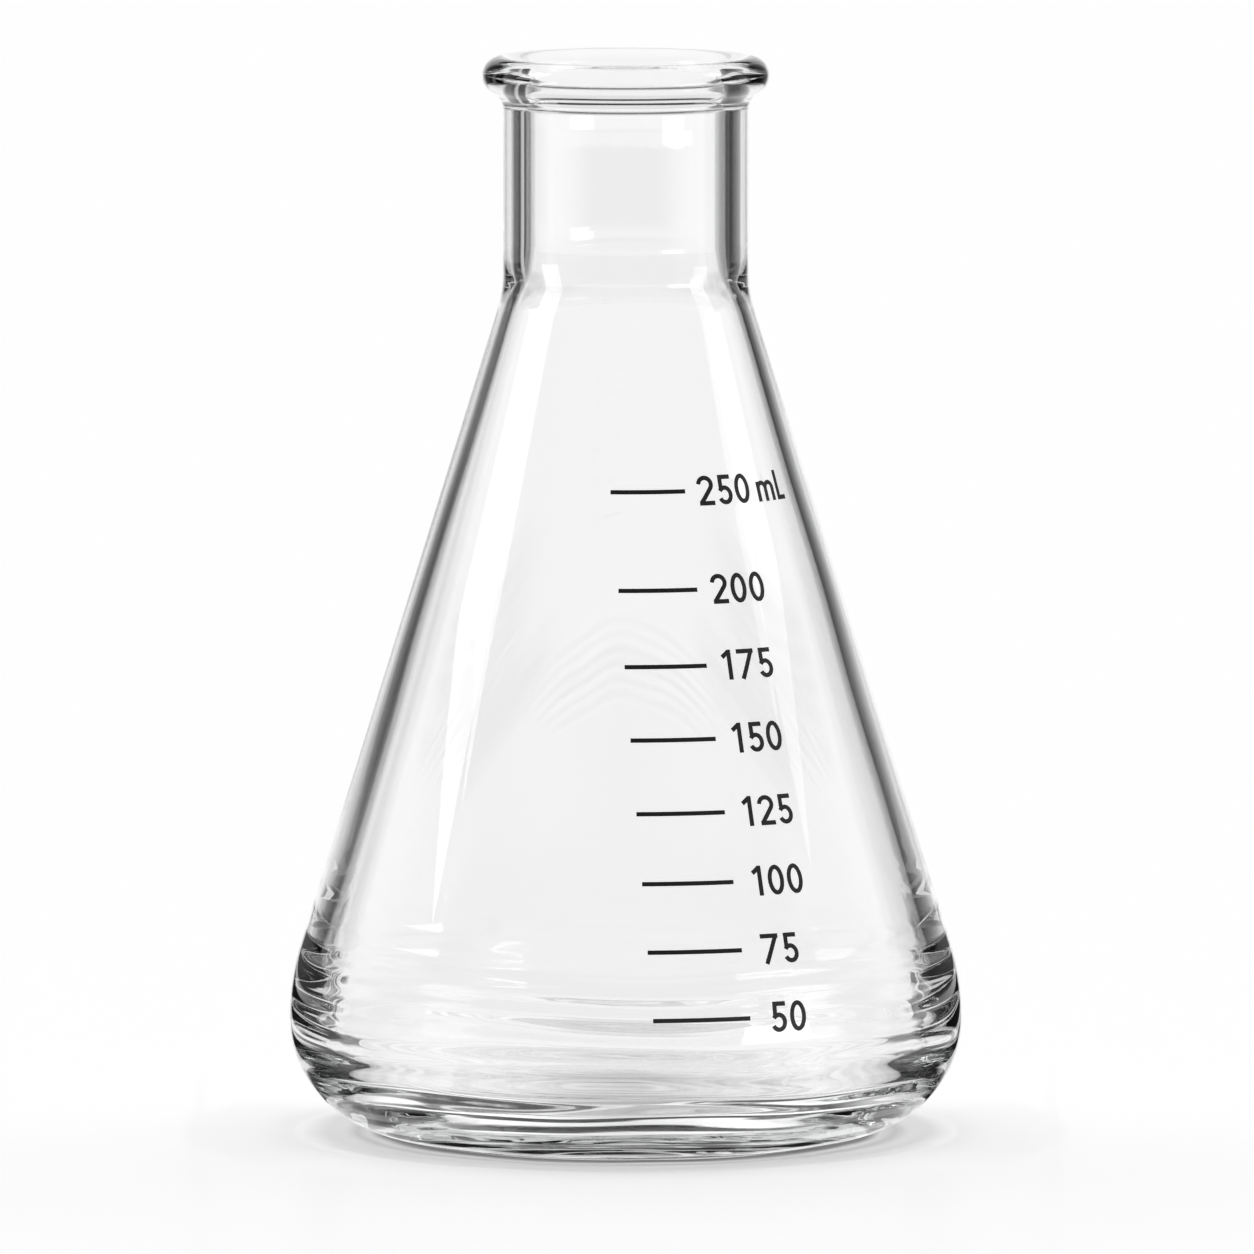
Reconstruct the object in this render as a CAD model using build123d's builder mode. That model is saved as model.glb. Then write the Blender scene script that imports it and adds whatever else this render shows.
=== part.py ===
from build123d import *
import os
from math import acos, atan2, cos, degrees, radians, sin, tan

# Erlenmeyer flask of 250 mL, blown from borosilicate glass in one piece.
# Lengths are in millimetres and angles in degrees.
# The origin is the middle of the foot, on the surface it stands on, and +Z is up.
# The flask is one wall section, drawn in the X-Z plane and turned round Z.

# Outside of the body
body_diameter = 85.0  # at the widest point, where the heel ends
heel_radius = 14.6  # from the foot out to the widest point
waist_radius = 30.0  # from the widest point in to the cone
cone_angle = 17.2  # lean of the cone's side from upright
shoulder_radius = 16.5  # hollow curve from the cone up into the neck

# Neck and its rolled bead
neck_diameter = 30.9
neck_length = 20.5  # straight, from the shoulder to the hollow under the bead
bead_radius = 2.35  # of the bead's round edge
bead_stand_out = 2.6  # how far the bead stands out from the neck
bead_root_radius = 2.5  # hollow curve under the bead

# Thickness of the glass
neck_wall = 2.85
shoulder_wall = 1.7  # where the cone meets the shoulder
waist_wall = 2.7  # where the cone meets the waist
heel_wall = 3.6  # at the widest point
base_thickness = 5.2  # over the foot ring

# Inside curves
inner_shoulder_radius = 18.0
inner_waist_radius = 24.0
inner_heel_radius = 10.0

# Push-up in the middle of the base
kick_radius = 18.0  # inner edge of the foot ring
kick_height = 1.0  # rise of the underside
floor_rise = 0.8  # rise of the inside floor


def height_on(point, angle, radius):
    """Height, at a radius, of the sloping wall line through a point."""
    return point.Y + (point.X - radius) / tan(angle)


# Radii that follow from the sizes above
body_radius = body_diameter / 2
foot_radius = body_radius - heel_radius
neck_radius = neck_diameter / 2
bore_radius = neck_radius - neck_wall
bowl_radius = body_radius - heel_wall
crown_radius = neck_radius + bead_stand_out - bead_radius
lip_radius = crown_radius - bore_radius
lean = radians(cone_angle)

# The hollow under the bead and the bead itself are circles that touch each other
circle_distance = bead_root_radius + bead_radius
circle_offset = circle_distance - bead_stand_out
root_turn = degrees(acos(circle_offset / circle_distance))

with BuildPart() as flask:
    with BuildSketch(Plane.XZ):
        with BuildLine():
            # Underside: the push-up, the flat foot ring, then the heel
            kick = TangentArc((0, kick_height), (kick_radius, 0), tangent=(1, 0))
            foot = Line(kick @ 1, (foot_radius, 0))
            heel = JernArc(foot @ 1, (1, 0), heel_radius, 90)

            # Outside wall: waist, straight cone, shoulder, neck
            waist = JernArc(heel @ 1, heel % 1, waist_radius, cone_angle)
            cone_end_radius = neck_radius + shoulder_radius * (1 - cos(lean))
            cone_end_height = height_on(waist @ 1, lean, cone_end_radius)
            cone = Line(waist @ 1, (cone_end_radius, cone_end_height))
            shoulder = JernArc(cone @ 1, cone % 1, shoulder_radius, -cone_angle)
            neck = Line(shoulder @ 1, shoulder @ 1 + Vector(0, neck_length))

            # Rolled bead: out along its root, over the edge and down into the mouth
            root = JernArc(neck @ 1, neck % 1, bead_root_radius, -root_turn)
            bead = JernArc(root @ 1, root % 1, bead_radius, root_turn + 90)
            lip = JernArc(bead @ 1, (-1, 0), lip_radius, 90)

            # The inside cone is set by the glass thickness at the two ends of the outside cone
            inward = Vector(-cos(lean), -sin(lean))
            inner_high = cone @ 1 + inward * shoulder_wall
            inner_low = cone @ 0 + inward * waist_wall
            inner_lean = atan2(inner_low.X - inner_high.X, inner_high.Y - inner_low.Y)

            # Inside wall: bore, shoulder, straight cone down to the bend of the waist
            bulge_radius = bore_radius + inner_shoulder_radius * (1 - cos(inner_lean))
            bulge_height = height_on(inner_low, inner_lean, bulge_radius)
            bore_bottom = bulge_height + inner_shoulder_radius * sin(inner_lean)
            bore = Line(lip @ 1, (bore_radius, bore_bottom))
            inner_shoulder = JernArc(
                bore @ 1, (0, -1), inner_shoulder_radius, degrees(inner_lean)
            )
            bend_radius = bowl_radius - inner_waist_radius * (1 - cos(inner_lean))
            bend_height = height_on(inner_low, inner_lean, bend_radius)
            inner_cone = Line(inner_shoulder @ 1, (bend_radius, bend_height))

            # Inside waist, upright bowl side, heel and floor, closed along the axis
            inner_waist = JernArc(
                inner_cone @ 1, inner_cone % 1, inner_waist_radius, -degrees(inner_lean)
            )
            bowl = Line(inner_waist @ 1, (bowl_radius, base_thickness + inner_heel_radius))
            inner_heel = JernArc(bowl @ 1, (0, -1), inner_heel_radius, -90)
            floor_top = (0, base_thickness + floor_rise)
            TangentArc(floor_top, inner_heel @ 1, tangent=(1, 0))
            Line(floor_top, kick @ 0)
        make_face()
    revolve(axis=Axis.Z)

flask.part.label = "flask"

os.makedirs("parts", exist_ok=True)
export_step(flask.part, "parts/flask.step")
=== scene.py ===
"""Visual model of a 250 mL Erlenmeyer flask: its clear glass, its fired-on volume scale and a plain studio.

Lengths are in metres and angles in degrees, unless a name says otherwise. The origin is the middle of
the foot, +Z is up the flask's axis and the scale faces -Y, towards the camera.
"""

import logging
from collections.abc import Iterable
from dataclasses import dataclass, field
from enum import Enum
from math import acos, asin, atan2, cos, degrees, dist, hypot, pi, radians, sin, tan

import bmesh
import bpy
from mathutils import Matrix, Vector, noise
from mathutils.geometry import delaunay_2d_cdt


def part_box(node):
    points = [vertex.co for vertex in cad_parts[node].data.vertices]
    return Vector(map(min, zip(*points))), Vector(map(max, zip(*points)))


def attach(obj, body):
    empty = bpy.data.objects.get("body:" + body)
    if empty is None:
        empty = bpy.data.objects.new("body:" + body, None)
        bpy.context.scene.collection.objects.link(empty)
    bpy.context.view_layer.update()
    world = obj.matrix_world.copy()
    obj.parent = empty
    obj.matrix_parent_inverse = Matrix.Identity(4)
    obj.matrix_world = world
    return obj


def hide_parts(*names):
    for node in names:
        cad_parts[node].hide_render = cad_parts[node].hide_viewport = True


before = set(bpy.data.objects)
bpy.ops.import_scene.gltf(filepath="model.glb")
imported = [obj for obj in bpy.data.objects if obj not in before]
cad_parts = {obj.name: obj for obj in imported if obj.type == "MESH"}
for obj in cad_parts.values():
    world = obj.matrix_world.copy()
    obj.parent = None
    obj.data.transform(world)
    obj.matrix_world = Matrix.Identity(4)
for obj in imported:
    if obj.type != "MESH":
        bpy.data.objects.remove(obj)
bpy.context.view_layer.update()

MM = 0.001
SAME_POINT = 1e-6
JOIN_GAP = 1e-5
CAMERA_CLIP = (0.1, 300.0)

# Values at places in rising order, such as brightness at a bearing, a height or a radius
Stops = tuple[tuple[float, float], ...]

# Points of a flat drawing: the middle line of a stroke, and a filled shape with its triangles
Stroke = list[Vector]
FlatShape = tuple[list[Vector], list[list[int]]]

log = logging.getLogger("flask")


class NodeGraph:
    """A node tree under construction, with short calls for adding and joining nodes."""

    def __init__(self, tree: bpy.types.NodeTree) -> None:
        """Empties the tree.

        Args:
            tree: the node tree of a material or a world.
        """
        self.tree = tree
        self.tree.nodes.clear()

    def add(self, kind: str, **values: object) -> bpy.types.Node:
        """Adds one node.

        Args:
            kind: the node's type name, such as "ShaderNodeTexNoise".
            values: what to set. A name that is an input's, with _ for each space, sets that input, and
                any other name sets the node's own option.

        Returns:
            The new node.
        """
        node = self.tree.nodes.new(kind)
        for name, value in values.items():
            socket = node.inputs.get(name.replace("_", " "))
            if socket is not None:
                socket.default_value = value
            else:
                setattr(node, name, value)
        return node

    def join(self, source: bpy.types.NodeSocket, target: bpy.types.NodeSocket) -> None:
        """Links an output to an input."""
        self.tree.links.new(source, target)


def paint_stops(ramp: bpy.types.Node, shades: Iterable[tuple[float, float]]) -> None:
    """Sets a colour ramp's stops to shades of grey.

    Args:
        ramp: the colour ramp node.
        shades: the stops, as place from 0 to 1 and brightness.
    """
    stops = ramp.color_ramp.elements
    for stop in list(stops)[1:]:
        stops.remove(stop)
    for index, (place, shade) in enumerate(shades):
        stop = stops.new(place) if index else stops[0]
        stop.position, stop.color = place, (shade, shade, shade, 1.0)


def new_material(name: str) -> tuple[bpy.types.Material, NodeGraph, bpy.types.Node]:
    """Makes a material with an empty node tree and its output node.

    Args:
        name: the material's name.

    Returns:
        The material, its node graph and its output node.
    """
    material = bpy.data.materials.new(name)
    material.use_nodes = True
    graph = NodeGraph(material.node_tree)
    return material, graph, graph.add("ShaderNodeOutputMaterial")


def new_object(name: str, mesh: bpy.types.Mesh, material: bpy.types.Material) -> bpy.types.Object:
    """Puts a mesh into the scene as an object at the origin.

    Args:
        name: the object's name.
        mesh: its mesh, with vertices in the shared frame.
        material: its one material.

    Returns:
        The new object.
    """
    mesh.materials.append(material)
    thing = bpy.data.objects.new(name, mesh)
    bpy.context.scene.collection.objects.link(thing)
    return thing


@dataclass(frozen=True)
class ClearGlass:
    """Clear borosilicate glass, fire-polished, with the faint unevenness of blown ware."""

    refraction: float = 1.473
    tint: tuple[float, float, float] = (0.898, 0.902, 0.90)
    absorption: float = 45.0
    polish: tuple[float, float] = (0.0, 0.006)
    polish_size: float = 9 * MM
    ripple_height: float = 0.003 * MM
    ripple_size: float = 6 * MM

    def material(self) -> bpy.types.Material:
        """Makes the glass's material.

        Returns:
            A material with a refracting surface and a faintly absorbing body.
        """
        material, graph, output = new_material("clear_glass")
        place = graph.add("ShaderNodeTexCoord")
        shader = graph.add(
            "ShaderNodeBsdfPrincipled",
            Base_Color=(1.0, 1.0, 1.0, 1.0),
            IOR=self.refraction,
            Transmission_Weight=1.0,
        )
        smear = graph.add("ShaderNodeTexNoise", Scale=1 / self.polish_size, Detail=2.0)
        spread = graph.add("ShaderNodeMapRange", To_Min=self.polish[0], To_Max=self.polish[1])
        ripple = graph.add("ShaderNodeTexNoise", Scale=1 / self.ripple_size, Detail=1.0)
        bump = graph.add("ShaderNodeBump", Distance=self.ripple_height)
        body = graph.add(
            "ShaderNodeVolumeAbsorption", Color=(*self.tint, 1.0), Density=self.absorption
        )
        graph.join(place.outputs["Object"], smear.inputs["Vector"])
        graph.join(smear.outputs["Fac"], spread.inputs["Value"])
        graph.join(spread.outputs["Result"], shader.inputs["Roughness"])
        graph.join(place.outputs["Object"], ripple.inputs["Vector"])
        graph.join(ripple.outputs["Fac"], bump.inputs["Height"])
        graph.join(bump.outputs["Normal"], shader.inputs["Normal"])
        graph.join(shader.outputs["BSDF"], output.inputs["Surface"])
        graph.join(body.outputs["Volume"], output.inputs["Volume"])
        return material


@dataclass(frozen=True)
class FiredEnamel:
    """Black enamel print, fired on: nearly matt, with a slight grain."""

    dark: tuple[float, float, float] = (0.004, 0.004, 0.0045)
    light: tuple[float, float, float] = (0.012, 0.012, 0.013)
    roughness: tuple[float, float] = (0.35, 0.6)
    refraction: float = 1.5
    grain_size: float = 0.12 * MM

    def material(self) -> bpy.types.Material:
        """Makes the enamel's material.

        Returns:
            A material whose colour and roughness vary with a fine grain.
        """
        material, graph, output = new_material("fired_enamel")
        place = graph.add("ShaderNodeTexCoord")
        shader = graph.add("ShaderNodeBsdfPrincipled", IOR=self.refraction)
        grain = graph.add("ShaderNodeTexNoise", Scale=1 / self.grain_size, Detail=3.0)
        colour = graph.add("ShaderNodeMix", data_type="RGBA")
        rough = graph.add("ShaderNodeMapRange", To_Min=self.roughness[0], To_Max=self.roughness[1])
        graph.join(place.outputs["Object"], grain.inputs["Vector"])
        colour_sockets = [socket for socket in colour.inputs if socket.type == "RGBA"]
        colour_sockets[0].default_value = (*self.dark, 1.0)
        colour_sockets[1].default_value = (*self.light, 1.0)
        colour_result = [socket for socket in colour.outputs if socket.type == "RGBA"][0]
        graph.join(grain.outputs["Fac"], colour.inputs["Factor"])
        graph.join(grain.outputs["Fac"], rough.inputs["Value"])
        graph.join(colour_result, shader.inputs["Base Color"])
        graph.join(rough.outputs["Result"], shader.inputs["Roughness"])
        graph.join(shader.outputs["BSDF"], output.inputs["Surface"])
        return material


class SectionPen:
    """Draws a section as straight runs and arcs, each carrying on from the last.

    The section is a list of points, as radius and height.
    """

    def __init__(self, start: tuple[float, float], heading: float) -> None:
        """Sets the pen down.

        Args:
            start: the first point, as radius and height.
            heading: the direction to draw in, turned from outward towards up.
        """
        self.points = [start]
        self.heading = heading

    def run(self, end: tuple[float, float], step: float) -> "SectionPen":
        """Draws a straight run, and turns the pen along it.

        Args:
            end: the run's last point.
            step: the longest that a piece of the run may be.

        Returns:
            The pen.
        """
        start = self.points[-1]
        pieces = max(1, round(dist(start, end) / step))
        for i in range(1, pieces + 1):
            share = i / pieces
            self.points.append(
                (start[0] + (end[0] - start[0]) * share, start[1] + (end[1] - start[1]) * share)
            )
        self.heading = degrees(atan2(end[1] - start[1], end[0] - start[0]))
        return self

    def arc(self, radius: float, turn: float, step: float) -> "SectionPen":
        """Draws an arc that starts along the pen's heading.

        Args:
            radius: the arc's radius.
            turn: how far the heading turns, positive to the left.
            step: the largest turn between two points.

        Returns:
            The pen.
        """
        side = 1 if turn > 0 else -1
        start, heading = self.points[-1], radians(self.heading)
        centre = (start[0] - side * radius * sin(heading), start[1] + side * radius * cos(heading))
        pieces = max(1, round(abs(turn) / step))
        for i in range(1, pieces + 1):
            angle = heading + radians(turn) * i / pieces
            self.points.append(
                (centre[0] + side * radius * sin(angle), centre[1] - side * radius * cos(angle))
            )
        self.heading += turn
        return self

    def dome(self, end: tuple[float, float], step: float) -> "SectionPen":
        """Draws the arc that starts along the pen's heading and ends at a point.

        Args:
            end: the arc's last point.
            step: the longest that a piece of the arc may be.

        Returns:
            The pen.
        """
        start = self.points[-1]
        chord = dist(start, end)
        bearing = degrees(atan2(end[1] - start[1], end[0] - start[0]))
        half_turn = (bearing - self.heading + 180) % 360 - 180
        radius = chord / 2 / abs(sin(radians(half_turn)))
        return self.arc(radius, 2 * half_turn, 2 * abs(half_turn) * step / chord)


@dataclass(frozen=True)
class WallSection:
    """The flask's wall, cut through the axis: the same sizes as the solid's."""

    body_diameter: float
    heel_radius: float = 14.6 * MM
    waist_radius: float = 30.0 * MM
    cone_angle: float = 17.2
    shoulder_radius: float = 16.5 * MM
    neck_diameter: float = 30.9 * MM
    neck_length: float = 20.5 * MM
    bead_radius: float = 2.35 * MM
    bead_stand_out: float = 2.6 * MM
    bead_root_radius: float = 2.5 * MM
    neck_wall: float = 2.85 * MM
    shoulder_wall: float = 1.7 * MM
    waist_wall: float = 2.7 * MM
    heel_wall: float = 3.6 * MM
    base_thickness: float = 5.2 * MM
    inner_shoulder_radius: float = 18.0 * MM
    inner_waist_radius: float = 24.0 * MM
    inner_heel_radius: float = 10.0 * MM
    kick_radius: float = 18.0 * MM
    kick_height: float = 1.0 * MM
    floor_rise: float = 0.8 * MM
    fine_turn: float = 4.0
    broad_turn: float = 2.0
    run_step: float = 2.0 * MM
    fine_step: float = 0.4 * MM

    @property
    def neck_radius(self) -> float:
        """Outer radius of the neck."""
        return self.neck_diameter / 2

    @property
    def bore_radius(self) -> float:
        """Inner radius of the neck."""
        return self.neck_radius - self.neck_wall

    def cone_start(self) -> tuple[float, float]:
        """Finds the point where the waist meets the straight cone.

        Returns:
            Its radius and height.
        """
        lean = radians(self.cone_angle)
        radius = self.body_diameter / 2 - self.waist_radius * (1 - cos(lean))
        return radius, self.heel_radius + self.waist_radius * sin(lean)

    def cone_end(self) -> tuple[float, float]:
        """Finds the point where the straight cone meets the shoulder.

        Returns:
            Its radius and height.
        """
        lean = radians(self.cone_angle)
        radius = self.neck_radius + self.shoulder_radius * (1 - cos(lean))
        start = self.cone_start()
        return radius, start[1] + (start[0] - radius) / tan(lean)

    def outside(self) -> list[tuple[float, float]]:
        """Draws the outer wall, from the middle of the underside to the crown of the bead.

        Returns:
            Points of radius and height.
        """
        distance = self.bead_root_radius + self.bead_radius
        root_turn = degrees(acos((distance - self.bead_stand_out) / distance))
        shoulder_top = self.cone_end()[1] + self.shoulder_radius * sin(radians(self.cone_angle))
        pen = SectionPen((0.0, self.kick_height), 0.0)
        pen.dome((self.kick_radius, 0.0), self.run_step)
        pen.run((self.body_diameter / 2 - self.heel_radius, 0.0), self.run_step)
        pen.arc(self.heel_radius, 90, self.broad_turn)
        pen.arc(self.waist_radius, self.cone_angle, self.broad_turn)
        pen.run(self.cone_end(), 2 * self.run_step)
        pen.arc(self.shoulder_radius, -self.cone_angle, self.broad_turn)
        pen.run((self.neck_radius, shoulder_top + self.neck_length), self.run_step)
        pen.arc(self.bead_root_radius, -root_turn, self.fine_turn)
        pen.arc(self.bead_radius, root_turn + 90, self.fine_turn)
        return pen.points

    def inside(self, crown: tuple[float, float]) -> list[tuple[float, float]]:
        """Draws the inner wall, from the crown of the bead down to the middle of the floor.

        Args:
            crown: the bead's highest point, where the outside ends.

        Returns:
            Points of radius and height, without the crown.
        """
        lean = radians(self.cone_angle)
        low, high = self.cone_start(), self.cone_end()
        inner_low = (low[0] - self.waist_wall * cos(lean), low[1] - self.waist_wall * sin(lean))
        inner_high = (
            high[0] - self.shoulder_wall * cos(lean), high[1] - self.shoulder_wall * sin(lean)
        )
        inner_lean = atan2(inner_low[0] - inner_high[0], inner_high[1] - inner_low[1])
        turn = degrees(inner_lean)
        bulge = self.bore_radius + self.inner_shoulder_radius * (1 - cos(inner_lean))
        bulge_height = inner_low[1] + (inner_low[0] - bulge) / tan(inner_lean)
        bore_bottom = bulge_height + self.inner_shoulder_radius * sin(inner_lean)
        widest = self.body_diameter / 2 - self.heel_wall
        bend_radius = widest - self.inner_waist_radius * (1 - cos(inner_lean))
        bend_top = inner_low[1] - (bend_radius - inner_low[0]) / tan(inner_lean)
        pen = SectionPen(crown, 180.0)
        pen.arc(crown[0] - self.bore_radius, 90, self.fine_turn)
        pen.run((self.bore_radius, bore_bottom), self.run_step)
        pen.arc(self.inner_shoulder_radius, turn, self.broad_turn)
        pen.run((bend_radius, bend_top), self.run_step / 2)
        pen.arc(self.inner_waist_radius, -turn, self.broad_turn / 2)
        pen.run((widest, self.base_thickness + self.inner_heel_radius), self.fine_step)
        pen.arc(self.inner_heel_radius, -90, self.broad_turn)
        edge = pen.points[-1]
        floor = SectionPen((0.0, self.base_thickness + self.floor_rise), 0.0)
        floor.dome(edge, self.fine_step)
        return pen.points[1:] + floor.points[-2::-1]

    def outer_radius(self, height: float) -> float:
        """Outer radius of the body at a height on the waist or the cone.

        Args:
            height: a height above the foot, from the widest point up to the shoulder.

        Returns:
            The radius.
        """
        start = self.cone_start()
        if height >= start[1]:
            return start[0] - (height - start[1]) * tan(radians(self.cone_angle))
        rise = height - self.heel_radius
        return self.body_diameter / 2 - self.waist_radius + (self.waist_radius**2 - rise**2) ** 0.5

    def outer_lean(self, height: float) -> float:
        """How far the outer wall leans in at a height.

        Args:
            height: a height above the foot, from the widest point up to the shoulder.

        Returns:
            The angle from upright, in radians.
        """
        if height >= self.cone_start()[1]:
            return radians(self.cone_angle)
        return asin((height - self.heel_radius) / self.waist_radius)


@dataclass
class FlaskBody:
    """The one piece of glass: foot, heel, cone, shoulder, neck and rolled bead.

    Blowing leaves the inner wall slightly wavy, and drawn-out lines, the swirl, run round it at the heel
    and the floor.
    """

    section: WallSection
    finish: ClearGlass = field(default_factory=ClearGlass)
    segments: int = 230
    wave_height: float = 0.06 * MM
    wave_size: tuple[float, float, float] = (11 * MM, 11 * MM, 26 * MM)
    swirl_height: float = 0.058 * MM
    swirl_spacing: float = 3.2 * MM
    swirl_drift: float = 0.4
    swirl_turns: float = 1.6
    swirl_climb: float = 0.6
    swirl_top: float = 36 * MM
    swirl_full: float = 26 * MM
    floor_calm: float = 0.35
    floor_reach: float = 2 * MM
    calm_radius: float = 12 * MM
    plain_rows: int = 40

    def wave(self, point: Vector) -> float:
        """How far the inner wall stands into the glass at a point, from the blowing."""
        scaled = Vector(point[i] / self.wave_size[i] for i in range(3))
        return self.wave_height * noise.noise(scaled)

    def swirl(self, angle: float, height: float, travel: float) -> float:
        """How far the drawn-out lines of the heel and the floor stand out from the inner wall.

        Args:
            angle: the place round the axis, in radians.
            height: the height above the foot.
            travel: how far along the section the place is, from the middle of the underside.

        Returns:
            The distance.
        """
        fade = min(1.0, max(0.0, (self.swirl_top - height) / (self.swirl_top - self.swirl_full)))
        if height < self.section.base_thickness + self.floor_reach:
            fade = self.floor_calm
        count = travel / self.swirl_spacing
        across, along = self.swirl_turns * cos(angle), self.swirl_turns * sin(angle)
        drift = self.swirl_drift * noise.noise(Vector((across, along, self.swirl_climb * count)))
        return self.swirl_height * fade * sin(2 * pi * (count + drift))

    def blown(self, rows: list[tuple[float, float]], index: int, travel: float, angle: float) -> Vector:
        """Moves a point of the inner wall by its unevenness, square to the wall.

        Args:
            rows: the section's points, as radius and height.
            index: which of them the point is on.
            travel: how far along the section that is.
            angle: the place round the axis, in radians.

        Returns:
            The moved point.
        """
        radius, height = rows[index]
        behind, ahead = rows[index - 1], rows[index + 1]
        along = Vector((ahead[0] - behind[0], ahead[1] - behind[1])).normalized()
        point = Vector((radius * cos(angle), radius * sin(angle), height))
        calm = min(1.0, radius / self.calm_radius)
        shift = calm * (self.wave(point) + self.swirl(angle, height, travel))
        outward, upward = -along[1] * shift, along[0] * shift
        return point + Vector((cos(angle) * outward, sin(angle) * outward, upward))

    def mesh(self) -> bpy.types.Mesh:
        """Turns the section round the axis.

        Returns:
            A closed mesh with its normals outward from the glass.
        """
        outside = self.section.outside()
        rows = outside + self.section.inside(outside[-1])
        angles = [2 * pi * i / self.segments for i in range(self.segments)]
        built = bmesh.new()
        rings = [[built.verts.new((0.0, 0.0, rows[0][1]))]]
        travel = 0.0
        for index in range(1, len(rows) - 1):
            radius, height = rows[index]
            travel += dist(rows[index - 1], rows[index])
            if index > len(outside) + self.plain_rows:
                ring = [self.blown(rows, index, travel, angle) for angle in angles]
            else:
                ring = [Vector((radius * cos(angle), radius * sin(angle), height)) for angle in angles]
            rings.append([built.verts.new(point) for point in ring])
        rings.append([built.verts.new((0.0, 0.0, rows[-1][1]))])
        for lower, upper in zip(rings, rings[1:]):
            for i in range(self.segments):
                j = (i + 1) % self.segments
                if len(lower) == 1:
                    built.faces.new((lower[0], upper[j], upper[i]))
                elif len(upper) == 1:
                    built.faces.new((lower[i], lower[j], upper[0]))
                else:
                    built.faces.new((lower[i], lower[j], upper[j], upper[i]))
        for face in built.faces:
            face.smooth = True
        bmesh.ops.recalc_face_normals(built, faces=built.faces)
        mesh = bpy.data.meshes.new("flask_glass")
        built.to_mesh(mesh)
        built.free()
        return mesh

    def build(self) -> bpy.types.Object:
        """Makes the glass and ties it to the solid.

        Returns:
            The glass.
        """
        glass = new_object("flask_glass", self.mesh(), self.finish.material())
        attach(glass, "root")
        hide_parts("flask")
        return glass


class Character(Enum):
    """The characters of the scale, each with its width as a share of the height of the figures."""

    ZERO = ("0", 0.60)
    ONE = ("1", 0.46)
    TWO = ("2", 0.60)
    FIVE = ("5", 0.575)
    SEVEN = ("7", 0.65)
    SMALL_M = ("m", 0.84)
    LARGE_L = ("L", 0.42)

    @property
    def width(self) -> float:
        """Width as a share of the height of the figures."""
        return self.value[1]

    @classmethod
    def of(cls, letter: str) -> "Character":
        """The character that a letter stands for."""
        return next(one for one in cls if one.value[0] == letter)


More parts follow.
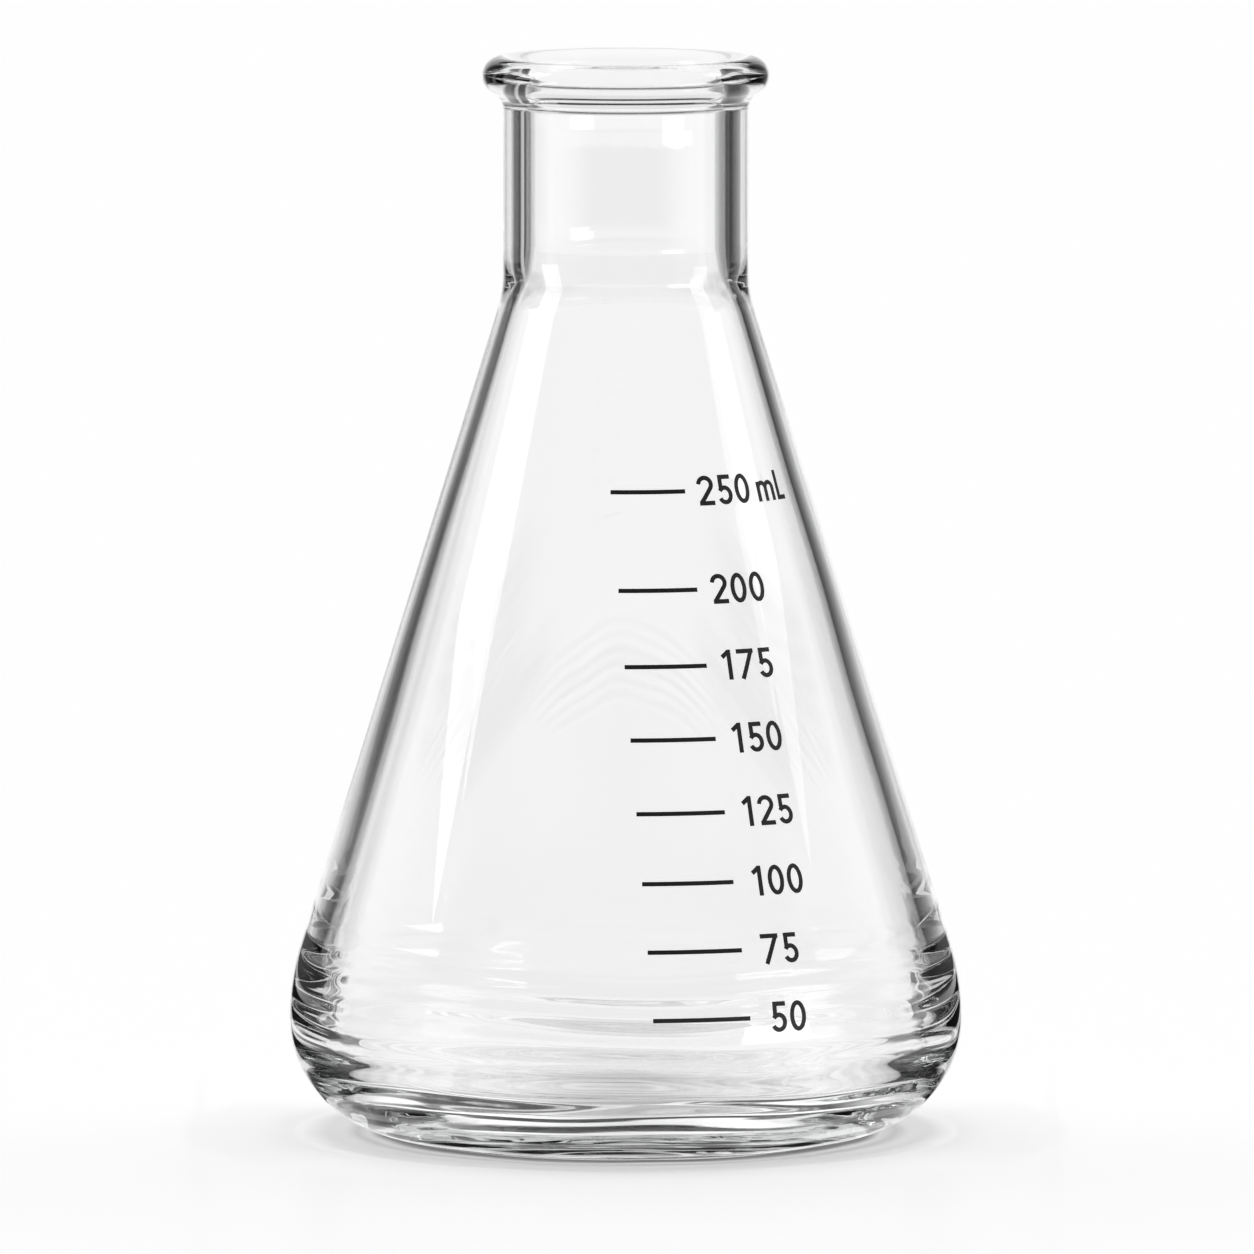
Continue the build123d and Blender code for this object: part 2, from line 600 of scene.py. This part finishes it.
@dataclass(frozen=True)
class Lettering:
    """Plain engraver's figures of one stroke width, drawn in units of their height."""

    stroke: float = 0.15
    step: float = 0.06
    tracking: float = 0.13
    curve_step: float = 9.0

    def line(self, start: tuple[float, float], end: tuple[float, float]) -> Stroke:
        """Draws a straight stroke, cut into short pieces.

        Args:
            start: its first point.
            end: its last point.

        Returns:
            The stroke's points.
        """
        a, b = Vector(start), Vector(end)
        pieces = max(1, round((b - a).length / self.step))
        return [a.lerp(b, i / pieces) for i in range(pieces + 1)]

    def bow(
        self, centre: tuple[float, float], size: tuple[float, float], start: float, end: float
    ) -> Stroke:
        """Draws part of an ellipse.

        Args:
            centre: the ellipse's centre.
            size: half its width and half its height, on the middle of the stroke.
            start: the first angle.
            end: the last angle, which is less than the first where the pen goes clockwise.

        Returns:
            The stroke's points.
        """
        pieces = max(2, round(abs(end - start) / self.curve_step))
        angles = (radians(start + (end - start) * i / pieces) for i in range(pieces + 1))
        return [Vector((centre[0] + size[0] * cos(t), centre[1] + size[1] * sin(t))) for t in angles]

    def strokes(self, character: Character) -> list[Stroke]:
        """Draws one character.

        Args:
            character: which one.

        Returns:
            The strokes, as the points that the middle of the pen goes through.
        """
        half = self.stroke / 2
        width = character.width
        if character is Character.ZERO:
            return [self.bow((width / 2, 0.5), (width / 2 - half, 0.5 - half), 0, 360)]
        if character is Character.ONE:
            stem = 0.30
            return [
                self.line((stem, 1.0), (stem, 0.0)),
                self.line((0.05, 0.755), (stem, 0.945)),
            ]
        if character is Character.TWO:
            corner, centre, size = (0.11, half), (0.30, 0.70), (0.23, 0.30 - half)
            reach = ((corner[0] - centre[0]) / size[0], (corner[1] - centre[1]) / size[1])
            leave = degrees(atan2(reach[1], reach[0]) + acos(1 / hypot(*reach)))
            bow = self.bow(centre, size, 176, leave)
            return [
                bow + self.line(tuple(bow[-1]), corner)[1:],
                self.line((0.055, half), (width, half)),
            ]
        if character is Character.FIVE:
            stem = 0.08 + half
            return [
                self.line((stem - half, 1 - half), (0.55, 1 - half)),
                self.line((stem, 1.0), (stem, 0.47)),
                self.bow((0.285, 0.32), (0.29 - half, 0.32 - half), 146, -154),
            ]
        if character is Character.SEVEN:
            return [
                self.line((0.0, 1 - half), (width, 1 - half)),
                self.line((width - 0.085, 1 - half), (0.145, 0.0)),
            ]
        if character is Character.SMALL_M:
            first, gap, top = half, (width - self.stroke) / 2, 0.70
            strokes = [self.line((first, top - 0.03), (first, 0.0))]
            for i in (1, 2):
                centre = first + gap * (i - 0.5)
                arch = self.bow((centre, top - half - 0.19), (gap / 2, 0.19), 165, 0)
                strokes.append(arch + self.line(tuple(arch[-1]), (first + gap * i, 0.0))[1:])
            return strokes
        return [self.line((half, 1.0), (half, 0.0)), self.line((0.0, half), (width, half))]

    def ribbon(self, stroke: Stroke) -> list[tuple[Vector, Vector]]:
        """Widens a stroke.

        Args:
            stroke: the points of its middle line.

        Returns:
            The two edges, as pairs of points.
        """
        closed = (stroke[0] - stroke[-1]).length < SAME_POINT
        pairs = []
        for i, point in enumerate(stroke):
            before = stroke[i - 1] if i else (stroke[-2] if closed else point)
            after = stroke[i + 1] if i + 1 < len(stroke) else (stroke[1] if closed else point)
            way = after - before
            side = Vector((-way.y, way.x)).normalized() * (self.stroke / 2)
            pairs.append((point + side, point - side))
        return pairs

    def outline(self, strokes: Iterable[Stroke]) -> FlatShape:
        """Joins strokes that cross into one flat shape.

        Args:
            strokes: the middle lines.

        Returns:
            The shape's points, and its triangles as indices of points.
        """
        points: list[Vector] = []
        quads: list[list[int]] = []
        for stroke in strokes:
            pairs = self.ribbon(stroke)
            for (a, b), (c, d) in zip(pairs, pairs[1:]):
                quads.append([len(points) + i for i in range(4)])
                points += [a, b, d, c]
        found = delaunay_2d_cdt(points, [], quads, 1, JOIN_GAP, True)
        triangles = [list(face) for face, source in zip(found[2], found[5]) if source]
        return list(found[0]), triangles

    def lay_out(self, text: str) -> list[Stroke]:
        """Draws a word.

        Args:
            text: its characters.

        Returns:
            All the strokes, side by side from the left.
        """
        strokes, left = [], 0.0
        for letter in text:
            character = Character.of(letter)
            offset = Vector((left, 0.0))
            strokes += [[point + offset for point in stroke] for stroke in self.strokes(character)]
            left += character.width + self.tracking
        return strokes


@dataclass(frozen=True)
class Mark:
    """One line of the scale."""

    volume: int
    height: float


@dataclass
class VolumeScale:
    """The printed scale on the front of the body: a line and a number for each volume."""

    section: WallSection
    finish: FiredEnamel = field(default_factory=FiredEnamel)
    lettering: Lettering = field(default_factory=Lettering)
    marks: tuple[Mark, ...] = (
        Mark(250, 83.25 * MM),
        Mark(200, 71.24 * MM),
        Mark(175, 61.97 * MM),
        Mark(150, 53.06 * MM),
        Mark(125, 44.13 * MM),
        Mark(100, 35.66 * MM),
        Mark(75, 27.38 * MM),
        Mark(50, 19.08 * MM),
    )
    figure_height: float = 3.82 * MM
    line_width: float = 0.55 * MM
    line_left: tuple[float, float] = (-1.90 * MM, 3.41 * MM)
    line_right: tuple[float, float] = (7.43 * MM, 15.51 * MM)
    text_left: tuple[float, float] = (8.92 * MM, 18.09 * MM)
    unit_gap: float = 1.35 * MM
    sunk: float = 0.015 * MM
    proud: float = 0.03 * MM

    def offset(self, ends: tuple[float, float], mark: Mark) -> float:
        """Sideways place of a column of the scale at a mark.

        Args:
            ends: the column's distance from the axis at the highest and at the lowest mark.
            mark: where to read it.

        Returns:
            The distance to the right of the axis, seen from the front.
        """
        top, bottom = self.marks[0].height, self.marks[-1].height
        return ends[0] + (ends[1] - ends[0]) * (top - mark.height) / (top - bottom)

    def print_on(
        self, name: str, mark: Mark, left: float, shape: FlatShape, material: bpy.types.Material
    ) -> bpy.types.Object:
        """Wraps a flat shape round the body as a thin layer.

        Args:
            name: the piece's name.
            mark: the mark whose height the shape is centred on.
            left: how far to the right of the axis the shape starts, seen from the front.
            shape: the flat shape in metres, drawn along the wall and up it.
            material: the print's material.

        Returns:
            The print.
        """
        points, triangles = shape
        radius = self.section.outer_radius(mark.height)
        lean = self.section.outer_lean(mark.height)
        first = asin(left / radius)

        def place(point: Vector, lift: float) -> Vector:
            """Wraps one point.

            Args:
                point: the point in the flat shape.
                lift: how far it stands out from the glass.

            Returns:
                The point on the body.
            """
            angle = first + point[0] / radius
            height = mark.height + point[1] * cos(lean)
            reach = self.section.outer_radius(height) + lift * cos(lean)
            return Vector((reach * sin(angle), -reach * cos(angle), height + lift * sin(lean)))

        built = bmesh.new()
        top = [built.verts.new(place(p, self.proud)) for p in points]
        under = [built.verts.new(place(p, -self.sunk)) for p in points]
        sides: set[tuple[int, int]] = set()
        for triangle in triangles:
            built.faces.new([top[i] for i in triangle])
            built.faces.new([under[i] for i in reversed(triangle)])
            sides.update(zip(triangle, triangle[1:] + triangle[:1]))
        for a, b in sorted(sides):
            if (b, a) not in sides:
                built.faces.new((top[b], top[a], under[a], under[b]))
        loose = [v for v in built.verts if not v.link_faces]
        bmesh.ops.delete(built, geom=loose, context="VERTS")
        bmesh.ops.recalc_face_normals(built, faces=built.faces)
        mesh = bpy.data.meshes.new(name)
        built.to_mesh(mesh)
        built.free()
        piece = new_object(name, mesh, material)
        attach(piece, "root")
        return piece

    def text_shape(self, text: str) -> FlatShape:
        """Draws a word at its real size, centred in height.

        Args:
            text: the word.

        Returns:
            Its points and triangles.
        """
        points, triangles = self.lettering.outline(self.lettering.lay_out(text))
        middle = Vector((0.0, 0.5))
        return [(p - middle) * self.figure_height for p in points], triangles

    def line_shape(self, length: float) -> FlatShape:
        """Draws a mark's line at its real size, centred in height."""
        pen = Lettering(stroke=self.line_width, step=self.line_width)
        return pen.outline([pen.line((0.0, 0.0), (length, 0.0))])

    def build(self) -> list[bpy.types.Object]:
        """Prints every line and number, and the unit beside the highest.

        Returns:
            The printed pieces.
        """
        material = self.finish.material()
        pieces = []
        for mark in self.marks:
            radius = self.section.outer_radius(mark.height)
            left, right = self.offset(self.line_left, mark), self.offset(self.line_right, mark)
            length = radius * (asin(right / radius) - asin(left / radius))
            line = self.line_shape(length)
            pieces.append(self.print_on(f"scale_line_{mark.volume}", mark, left, line, material))
            start = self.offset(self.text_left, mark)
            number = self.text_shape(str(mark.volume))
            pieces.append(self.print_on(f"scale_number_{mark.volume}", mark, start, number, material))
        highest = self.marks[0]
        radius = self.section.outer_radius(highest.height)
        number_end = max(p[0] for p in self.text_shape(str(highest.volume))[0])
        start = asin(self.text_left[0] / radius) + (number_end + self.unit_gap) / radius
        unit = self.text_shape("mL")
        pieces.append(self.print_on("scale_unit", highest, radius * sin(start), unit, material))
        return pieces


@dataclass(frozen=True)
class FloorFinish:
    """A white studio floor that glows evenly, with a painted shadow round the glass foot.

    The painted shadow is rings of shade, brightness by distance from the flask's axis.
    """

    glow: float = 0.65
    white: tuple[float, float, float] = (0.8, 0.8, 0.8)
    shine: float = 0.06
    roughness: float = 0.25
    rings_reach: float = 60 * MM
    # Painted shadow round the foot: brightness by distance from the axis, darkest close to the foot
    rings: Stops = (
        (0.0, 1.0),
        (25 * MM, 1.0),
        (28.5 * MM, 0.8),
        (29.5 * MM, 0.20),
        (31.0 * MM, 0.25),
        (32.5 * MM, 0.75),
        (34 * MM, 0.60),
        (36 * MM, 0.80),
        (38 * MM, 0.75),
        (41 * MM, 0.92),
        (47 * MM, 0.98),
        (60 * MM, 1.0),
    )
    waver: float = 1.2 * MM
    waver_size: float = 16 * MM

    def ring_shade(self, graph: NodeGraph) -> bpy.types.NodeSocket:
        """Paints the shadow rings on the floor by the distance from the flask's axis, along rings that waver
        a little.

        Args:
            graph: the floor's node graph.

        Returns:
            The output that carries the shade.
        """
        place = graph.add("ShaderNodeTexCoord")
        length = graph.add("ShaderNodeVectorMath", operation="LENGTH")
        drift = graph.add("ShaderNodeTexNoise", Scale=1 / self.waver_size, Detail=1.0)
        waver = graph.add("ShaderNodeMapRange", To_Min=-self.waver, To_Max=self.waver)
        total = graph.add("ShaderNodeMath", operation="ADD")
        share = graph.add("ShaderNodeMapRange", From_Max=self.rings_reach)
        ramp = graph.add("ShaderNodeValToRGB")
        paint_stops(ramp, ((radius / self.rings_reach, shade) for radius, shade in self.rings))
        graph.join(place.outputs["Object"], length.inputs[0])
        graph.join(place.outputs["Object"], drift.inputs["Vector"])
        graph.join(drift.outputs["Fac"], waver.inputs["Value"])
        graph.join(length.outputs["Value"], total.inputs[0])
        graph.join(waver.outputs["Result"], total.inputs[1])
        graph.join(total.outputs["Value"], share.inputs["Value"])
        graph.join(share.outputs["Result"], ramp.inputs["Fac"])
        return ramp.outputs["Color"]

    def material(self) -> bpy.types.Material:
        """Makes the floor's material.

        Returns:
            A material that glows, scatters light and shines a little, with the painted shadow rings in its
            glow and colour.
        """
        material, graph, output = new_material("studio_floor")
        shade = self.ring_shade(graph)
        white = graph.add("ShaderNodeMix", data_type="RGBA", blend_type="MULTIPLY", Factor=1.0)
        colours = [socket for socket in white.inputs if socket.type == "RGBA"]
        colours[0].default_value = (*self.white, 1.0)
        tinted = [socket for socket in white.outputs if socket.type == "RGBA"][0]
        glow = graph.add("ShaderNodeEmission", Strength=self.glow)
        matt = graph.add("ShaderNodeBsdfDiffuse")
        gloss = graph.add("ShaderNodeBsdfGlossy", Roughness=self.roughness)
        mix = graph.add("ShaderNodeMixShader", Fac=self.shine)
        both = graph.add("ShaderNodeAddShader")
        # The painted shadow rings darken both the floor's colour and its glow
        graph.join(shade, colours[1])
        graph.join(shade, glow.inputs["Color"])
        graph.join(tinted, matt.inputs["Color"])
        graph.join(matt.outputs["BSDF"], mix.inputs[1])
        graph.join(gloss.outputs["BSDF"], mix.inputs[2])
        graph.join(mix.outputs["Shader"], both.inputs[0])
        graph.join(glow.outputs["Emission"], both.inputs[1])
        graph.join(both.outputs["Shader"], output.inputs["Surface"])
        return material


@dataclass(frozen=True)
class SoftBox:
    """A soft light panel beside the flask, facing its axis."""

    name: str
    bearing: float
    distance: float
    width: float
    bottom: float
    top: float
    radiance: float

    def build(self) -> bpy.types.Object:
        """Hangs the panel.

        Returns:
            The light.
        """
        light = bpy.data.lights.new(self.name, "AREA")
        light.shape = "RECTANGLE"
        light.size, light.size_y = self.width, self.top - self.bottom
        light.energy = self.radiance * pi * light.size * light.size_y
        lamp = bpy.data.objects.new(self.name, light)
        turn = radians(self.bearing)
        lamp.location = (
            self.distance * sin(turn), self.distance * cos(turn), (self.top + self.bottom) / 2
        )
        lamp.rotation_euler = (pi / 2, 0.0, pi - turn)
        lamp.visible_camera = False
        lamp.visible_diffuse = False
        bpy.context.scene.collection.objects.link(lamp)
        return lamp


def glowing(name: str) -> bpy.types.Material:
    """Makes a material that glows as brightly as the mesh's attribute "shade" says: painted light and shade,
    not a lamp.

    Args:
        name: the material's name.

    Returns:
        The material.
    """
    material, graph, output = new_material(name)
    shade = graph.add("ShaderNodeAttribute", attribute_name="shade")
    glow = graph.add("ShaderNodeEmission")
    graph.join(shade.outputs["Fac"], glow.inputs["Strength"])
    graph.join(glow.outputs["Emission"], output.inputs["Surface"])
    return material


def studio_panel(
    name: str, points: list[tuple[float, float, float]], shades: list[float], faces: list[tuple[int, ...]]
) -> bpy.types.Object:
    """Makes a glowing panel that is seen only in and through the glass, as a painted reflection.

    Args:
        name: the panel's name.
        points: its corners.
        shades: the brightness at each corner.
        faces: its faces, as indices of points.

    Returns:
        The panel.
    """
    mesh = bpy.data.meshes.new(name)
    mesh.from_pydata(points, [], faces)
    mesh.attributes.new("shade", "FLOAT", "POINT").data.foreach_set("value", shades)
    panel = new_object(name, mesh, glowing(name))
    panel.visible_camera = False
    panel.visible_diffuse = False
    panel.visible_shadow = False
    return panel


def level(stops: Stops, place: float) -> float:
    """Reads a value between stops.

    Args:
        stops: the values at places in rising order.
        place: where to read.

    Returns:
        The value, which past the last stop stays the last.
    """
    for (first, low), (last, high) in zip(stops, stops[1:]):
        if place <= last:
            return low + (high - low) * (place - first) / (last - first)
    return stops[-1][1]


@dataclass(frozen=True)
class Screen:
    """A curved glowing screen round the flask, not a lamp, hidden from the camera, which shades the edges of
    the glass with a painted reflection of dark edges and bright streaks.

    Its shades are brightness by bearing, from the back of the flask clockwise as seen from above.
    """

    name: str
    shades: Stops
    distance: float = 0.60
    bottom: float = 0.0
    top: float = 0.42

    def build(self) -> bpy.types.Object:
        """Hangs the screen.

        Returns:
            The screen, whose shade goes evenly from each bearing to the next.
        """
        points, values = [], []
        for bearing, shade in self.shades:
            turn = radians(bearing)
            x, y = self.distance * sin(turn), self.distance * cos(turn)
            points += [(x, y, self.bottom), (x, y, self.top)]
            values += [shade, shade]
        faces = [(i, i + 2, i + 3, i + 1) for i in range(0, len(points) - 2, 2)]
        return studio_panel(self.name, points, values, faces)


@dataclass(frozen=True)
class LowCard:
    """A glowing banded card close beside the heel, not a lamp, hidden from the camera, which draws dark
    lines in the glass as a painted reflection.

    Its bands are brightness by height, and both of its ends fade to white.
    """

    name: str
    aside: float
    front: float = -20 * MM
    back: float = 75 * MM
    fade: float = 20 * MM
    # Painted reflection: dark and bright bands of glow by height
    bands: Stops = (
        (0.0, 0.02),
        (6 * MM, 0.02),
        (6.5 * MM, 0.95),
        (9 * MM, 0.95),
        (9.5 * MM, 0.02),
        (16 * MM, 0.02),
        (16.5 * MM, 0.8),
        (18 * MM, 0.8),
        (18.5 * MM, 0.1),
        (26 * MM, 0.2),
    )

    def build(self) -> bpy.types.Object:
        """Stands the card on the floor.

        Returns:
            The card.
        """
        points, values = [], []
        columns = (self.front, self.front + self.fade, self.back - self.fade, self.back)
        for height, shade in self.bands:
            points += [(self.aside, depth, height) for depth in columns]
            values += [1.0, shade, shade, 1.0]
        width = len(columns)
        faces = [
            (i + k, i + k + width, i + k + width + 1, i + k + 1)
            for i in range(0, len(points) - width, width)
            for k in range(width - 1)
        ]
        return studio_panel(self.name, points, values, faces)


@dataclass(frozen=True)
class FootCard:
    """A glowing ring round the foot, not a lamp and hidden from the camera, with painted light and painted
    shadow on the floor under the glass, which draws the long lines in the thick base.

    Inside the ring, the pool is painted light: the light that the glass gathers on the floor. The bands are
    painted shadow and painted light. Dark, bright and edge are brightness by bearing from the back of the
    flask, alike on both sides: of the two kinds of band, and of what lies outside them.
    """

    inner_radius: float = 0.5 * MM
    outer_radius: float = 56 * MM
    pool_radius: float = 27.5 * MM
    pool_dark: float = 0.62
    pool_bright: float = 1.05
    pool_full: float = 16 * MM
    pool_ring: float = 0.16
    pool_ring_width: float = 5.0 * MM
    heel_edge: float = 42 * MM
    radial_step: float = 0.25 * MM
    bearing_step: float = 2.0
    lift: float = -0.03 * MM
    band_width: float = 3.4 * MM
    band_edge: float = 0.10
    band_drift: float = 0.4
    drift_turns: float = 1.6
    dark: Stops = (
        (0, 0.7), (11, 0.7), (18, 0.9), (55, 0.9), (100, 0.85), (116, 0.5), (128, 0.05), (150, 0.05),
        (180, 0.03),
    )
    bright: Stops = (
        (0, 0.95), (11, 0.95), (18, 1.1), (55, 1.1), (66, 1.0), (100, 1.0), (118, 1.2), (135, 1.2),
        (150, 1.3), (163, 1.1), (180, 0.9),
    )
    edge: Stops = ((0, 1.0), (55, 1.0), (68, 0.02), (112, 0.02), (130, 1.0), (180, 1.0))

    def shade(self, bearing: float, radius: float) -> float:
        """How bright the ring's painted light and shade are at a place.

        Args:
            bearing: the bearing from the back of the flask, from -180 to 180.
            radius: the distance from the axis.

        Returns:
            The brightness.
        """
        turn, side = radians(bearing), abs(bearing)
        around = Vector((self.drift_turns * sin(turn), self.drift_turns * cos(turn), 0.0))
        drift = self.band_drift * noise.noise(around)
        if radius < self.pool_radius:
            reach = sin(turn) ** 2 * min(1.0, radius / self.pool_full)
            ring = 0.5 + 0.5 * sin(2 * pi * (radius / self.pool_ring_width + drift))
            pool = self.pool_dark + (self.pool_bright - self.pool_dark) * reach
            return pool * (1 - self.pool_ring * ring)
        if radius > self.heel_edge:
            return level(self.edge, side)
        wave = 0.5 + 0.5 * sin(2 * pi * (radius / self.band_width + drift))
        band = min(1.0, max(0.0, 0.5 + (wave - 0.5) / (2 * self.band_edge)))
        low, high = level(self.dark, side), level(self.bright, side)
        return low + (high - low) * band

    def build(self) -> bpy.types.Object:
        """Lays the ring.

        Returns:
            The ring.
        """
        rows = round((self.outer_radius - self.inner_radius) / self.radial_step) + 1
        turns = round(360 / self.bearing_step)
        points, values = [], []
        for i in range(turns):
            bearing = i * self.bearing_step - 180
            across, along = sin(radians(bearing)), cos(radians(bearing))
            for row in range(rows):
                radius = self.inner_radius + row * self.radial_step
                points.append((radius * across, radius * along, self.lift))
                values.append(self.shade(bearing, radius))
        faces = []
        for i in range(turns):
            here, there = i * rows, (i + 1) % turns * rows
            faces += [(here + k, here + k + 1, there + k + 1, there + k) for k in range(rows - 1)]
        return studio_panel("foot_card", points, values, faces)


@dataclass(frozen=True)
class CameraStand:
    """The camera, aimed level with the middle of the flask from a little above."""

    distance: float = 2.4
    look_down: float = 5.925
    aim_height: float = 63.98 * MM
    aside: float = 0.164 * MM
    picture_side: int = 1254
    pixels_per_metre: float = 7920.0
    sensor: float = 36.0

    def build(self) -> bpy.types.Object:
        """Makes the camera and sets the scene to use it.

        Returns:
            The camera.
        """
        camera = bpy.data.cameras.new("camera")
        camera.sensor_width = self.sensor
        camera.lens = self.sensor * self.pixels_per_metre * self.distance / self.picture_side
        camera.clip_start, camera.clip_end = CAMERA_CLIP
        down = radians(self.look_down)
        stand = bpy.data.objects.new("camera", camera)
        stand.location = (
            self.aside,
            -self.distance * cos(down),
            self.aim_height + self.distance * sin(down),
        )
        stand.rotation_euler = (pi / 2 - down, 0.0, 0.0)
        bpy.context.scene.collection.objects.link(stand)
        bpy.context.scene.camera = stand
        return stand


@dataclass
class Studio:
    """Everything round the flask: the floor, the surroundings, the lights, the hidden glowing panels of
    painted reflection and the camera.

    The surroundings are bright at the back and dim at the front, and sky_shades is their brightness by
    the upward part of the direction, with a dark strip that draws the lines in the bead.
    """

    floor_radius: float = 80.0
    floor_sides: int = 96
    floor_finish: FloorFinish = field(default_factory=FloorFinish)
    floor_gap: float = 0.06 * MM
    back_light: float = 1.0
    front_light: float = 0.2
    front_edge: float = -0.2
    back_edge: float = 0.4
    sky_shades: Stops = (
        (0.0, 1.2), (0.13, 1.2), (0.2, 1.0), (0.32, 1.0), (0.35, 0.04), (0.43, 0.04), (0.46, 1.0),
    )
    camera: CameraStand = field(default_factory=CameraStand)
    boxes: tuple[SoftBox, ...] = (
        SoftBox("left_softbox", -92.0, 0.60, 0.24, 0.24, 0.80, 3.2),
        SoftBox("right_softbox", 92.0, 0.75, 0.25, 0.30, 0.90, 2.0),
        SoftBox("right_low_box", 128.0, 0.70, 0.30, 0.0, 0.12, 4.0),
    )
    # Painted reflections: glowing screens whose dark and bright bearings show only in the glass
    screens: tuple[Screen, ...] = (
        Screen(
            "left_screen",
            (
                (-64, 0.35), (-61, 0.02), (-52, 0.02), (-50, 0.6), (-46, 0.45), (-43, 0.01),
                (-37, 0.1), (-28, 0.12), (-25, 0.4), (-22, 0.65), (-19, 1.0),
            ),
        ),
        Screen(
            "right_screen",
            ((18, 1.0), (20, 0.6), (24, 0.3), (29, 0.2), (34, 0.12), (41, 0.03), (58, 0.02), (66, 0.3)),
        ),
        Screen(
            "front_screen",
            (
                (110, 0.7), (122, 0.7), (140, 0.1), (160, 0.1), (180, 0.1), (200, 0.1), (220, 0.1),
                (238, 0.7), (250, 0.7),
            ),
            distance=0.45,
            bottom=0.055,
            top=0.092,
        ),
    )
    cards: tuple[LowCard, ...] = (
        LowCard("left_card", -55 * MM),
        LowCard("right_card", 55 * MM),
    )
    foot_card: FootCard = field(default_factory=FootCard)
    wall_bounces: int = 32
    shine_bounces: int = 16

    def floor(self) -> bpy.types.Object:
        """Lays the floor.

        Returns:
            The floor.
        """
        built = bmesh.new()
        bmesh.ops.create_circle(
            built, cap_ends=True, segments=self.floor_sides, radius=self.floor_radius
        )
        mesh = bpy.data.meshes.new("studio_floor")
        built.to_mesh(mesh)
        built.free()
        floor = new_object("studio_floor", mesh, self.floor_finish.material())
        floor.location.z = -self.floor_gap
        return floor

    def surroundings(self) -> bpy.types.World:
        """Lights the surroundings: bright behind the flask and dim in front of it.

        Returns:
            The world.
        """
        world = bpy.data.worlds.new("studio_surroundings")
        world.use_nodes = True
        graph = NodeGraph(world.node_tree)
        place = graph.add("ShaderNodeTexCoord")
        split = graph.add("ShaderNodeSeparateXYZ")
        fade = graph.add(
            "ShaderNodeMapRange",
            From_Min=self.front_edge,
            From_Max=self.back_edge,
            To_Min=self.front_light,
            To_Max=self.back_light,
            interpolation_type="SMOOTHSTEP",
        )
        strip = graph.add("ShaderNodeValToRGB")
        paint_stops(strip, self.sky_shades)
        both = graph.add("ShaderNodeMath", operation="MULTIPLY")
        light = graph.add("ShaderNodeBackground")
        output = graph.add("ShaderNodeOutputWorld")
        graph.join(place.outputs["Generated"], split.inputs["Vector"])
        graph.join(split.outputs["Y"], fade.inputs["Value"])
        graph.join(split.outputs["Z"], strip.inputs["Fac"])
        graph.join(fade.outputs["Result"], both.inputs[0])
        graph.join(strip.outputs["Color"], both.inputs[1])
        graph.join(both.outputs["Value"], light.inputs["Strength"])
        graph.join(light.outputs["Background"], output.inputs["Surface"])
        bpy.context.scene.world = world
        return world

    def render_depth(self) -> None:
        """Lets light go through as many walls as the flask has, with colours shown as they are."""
        scene = bpy.context.scene
        scene.view_settings.view_transform = "Standard"
        scene.cycles.max_bounces = self.wall_bounces
        scene.cycles.transmission_bounces = self.wall_bounces
        scene.cycles.glossy_bounces = self.shine_bounces

    def build(self) -> None:
        """Sets up the whole studio."""
        self.camera.build()
        self.floor()
        self.surroundings()
        for box in self.boxes:
            box.build()
        # Glowing panels, no lamps, that paint reflections and the light and shade under the foot into the
        # glass
        for panel in (*self.screens, *self.cards, self.foot_card):
            panel.build()
        self.render_depth()


def main() -> None:
    """Builds the flask, its scale and the studio round it."""
    logging.basicConfig(level=logging.INFO, format="%(name)s: %(message)s")
    Studio().build()
    low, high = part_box("flask")
    section = WallSection(body_diameter=high.x - low.x)
    body = FlaskBody(section).build()
    log.info("%s has %d faces", body.name, len(body.data.polygons))
    for piece in VolumeScale(section).build():
        log.info("%s has %d faces", piece.name, len(piece.data.polygons))


if __name__ == "__main__":
    main()
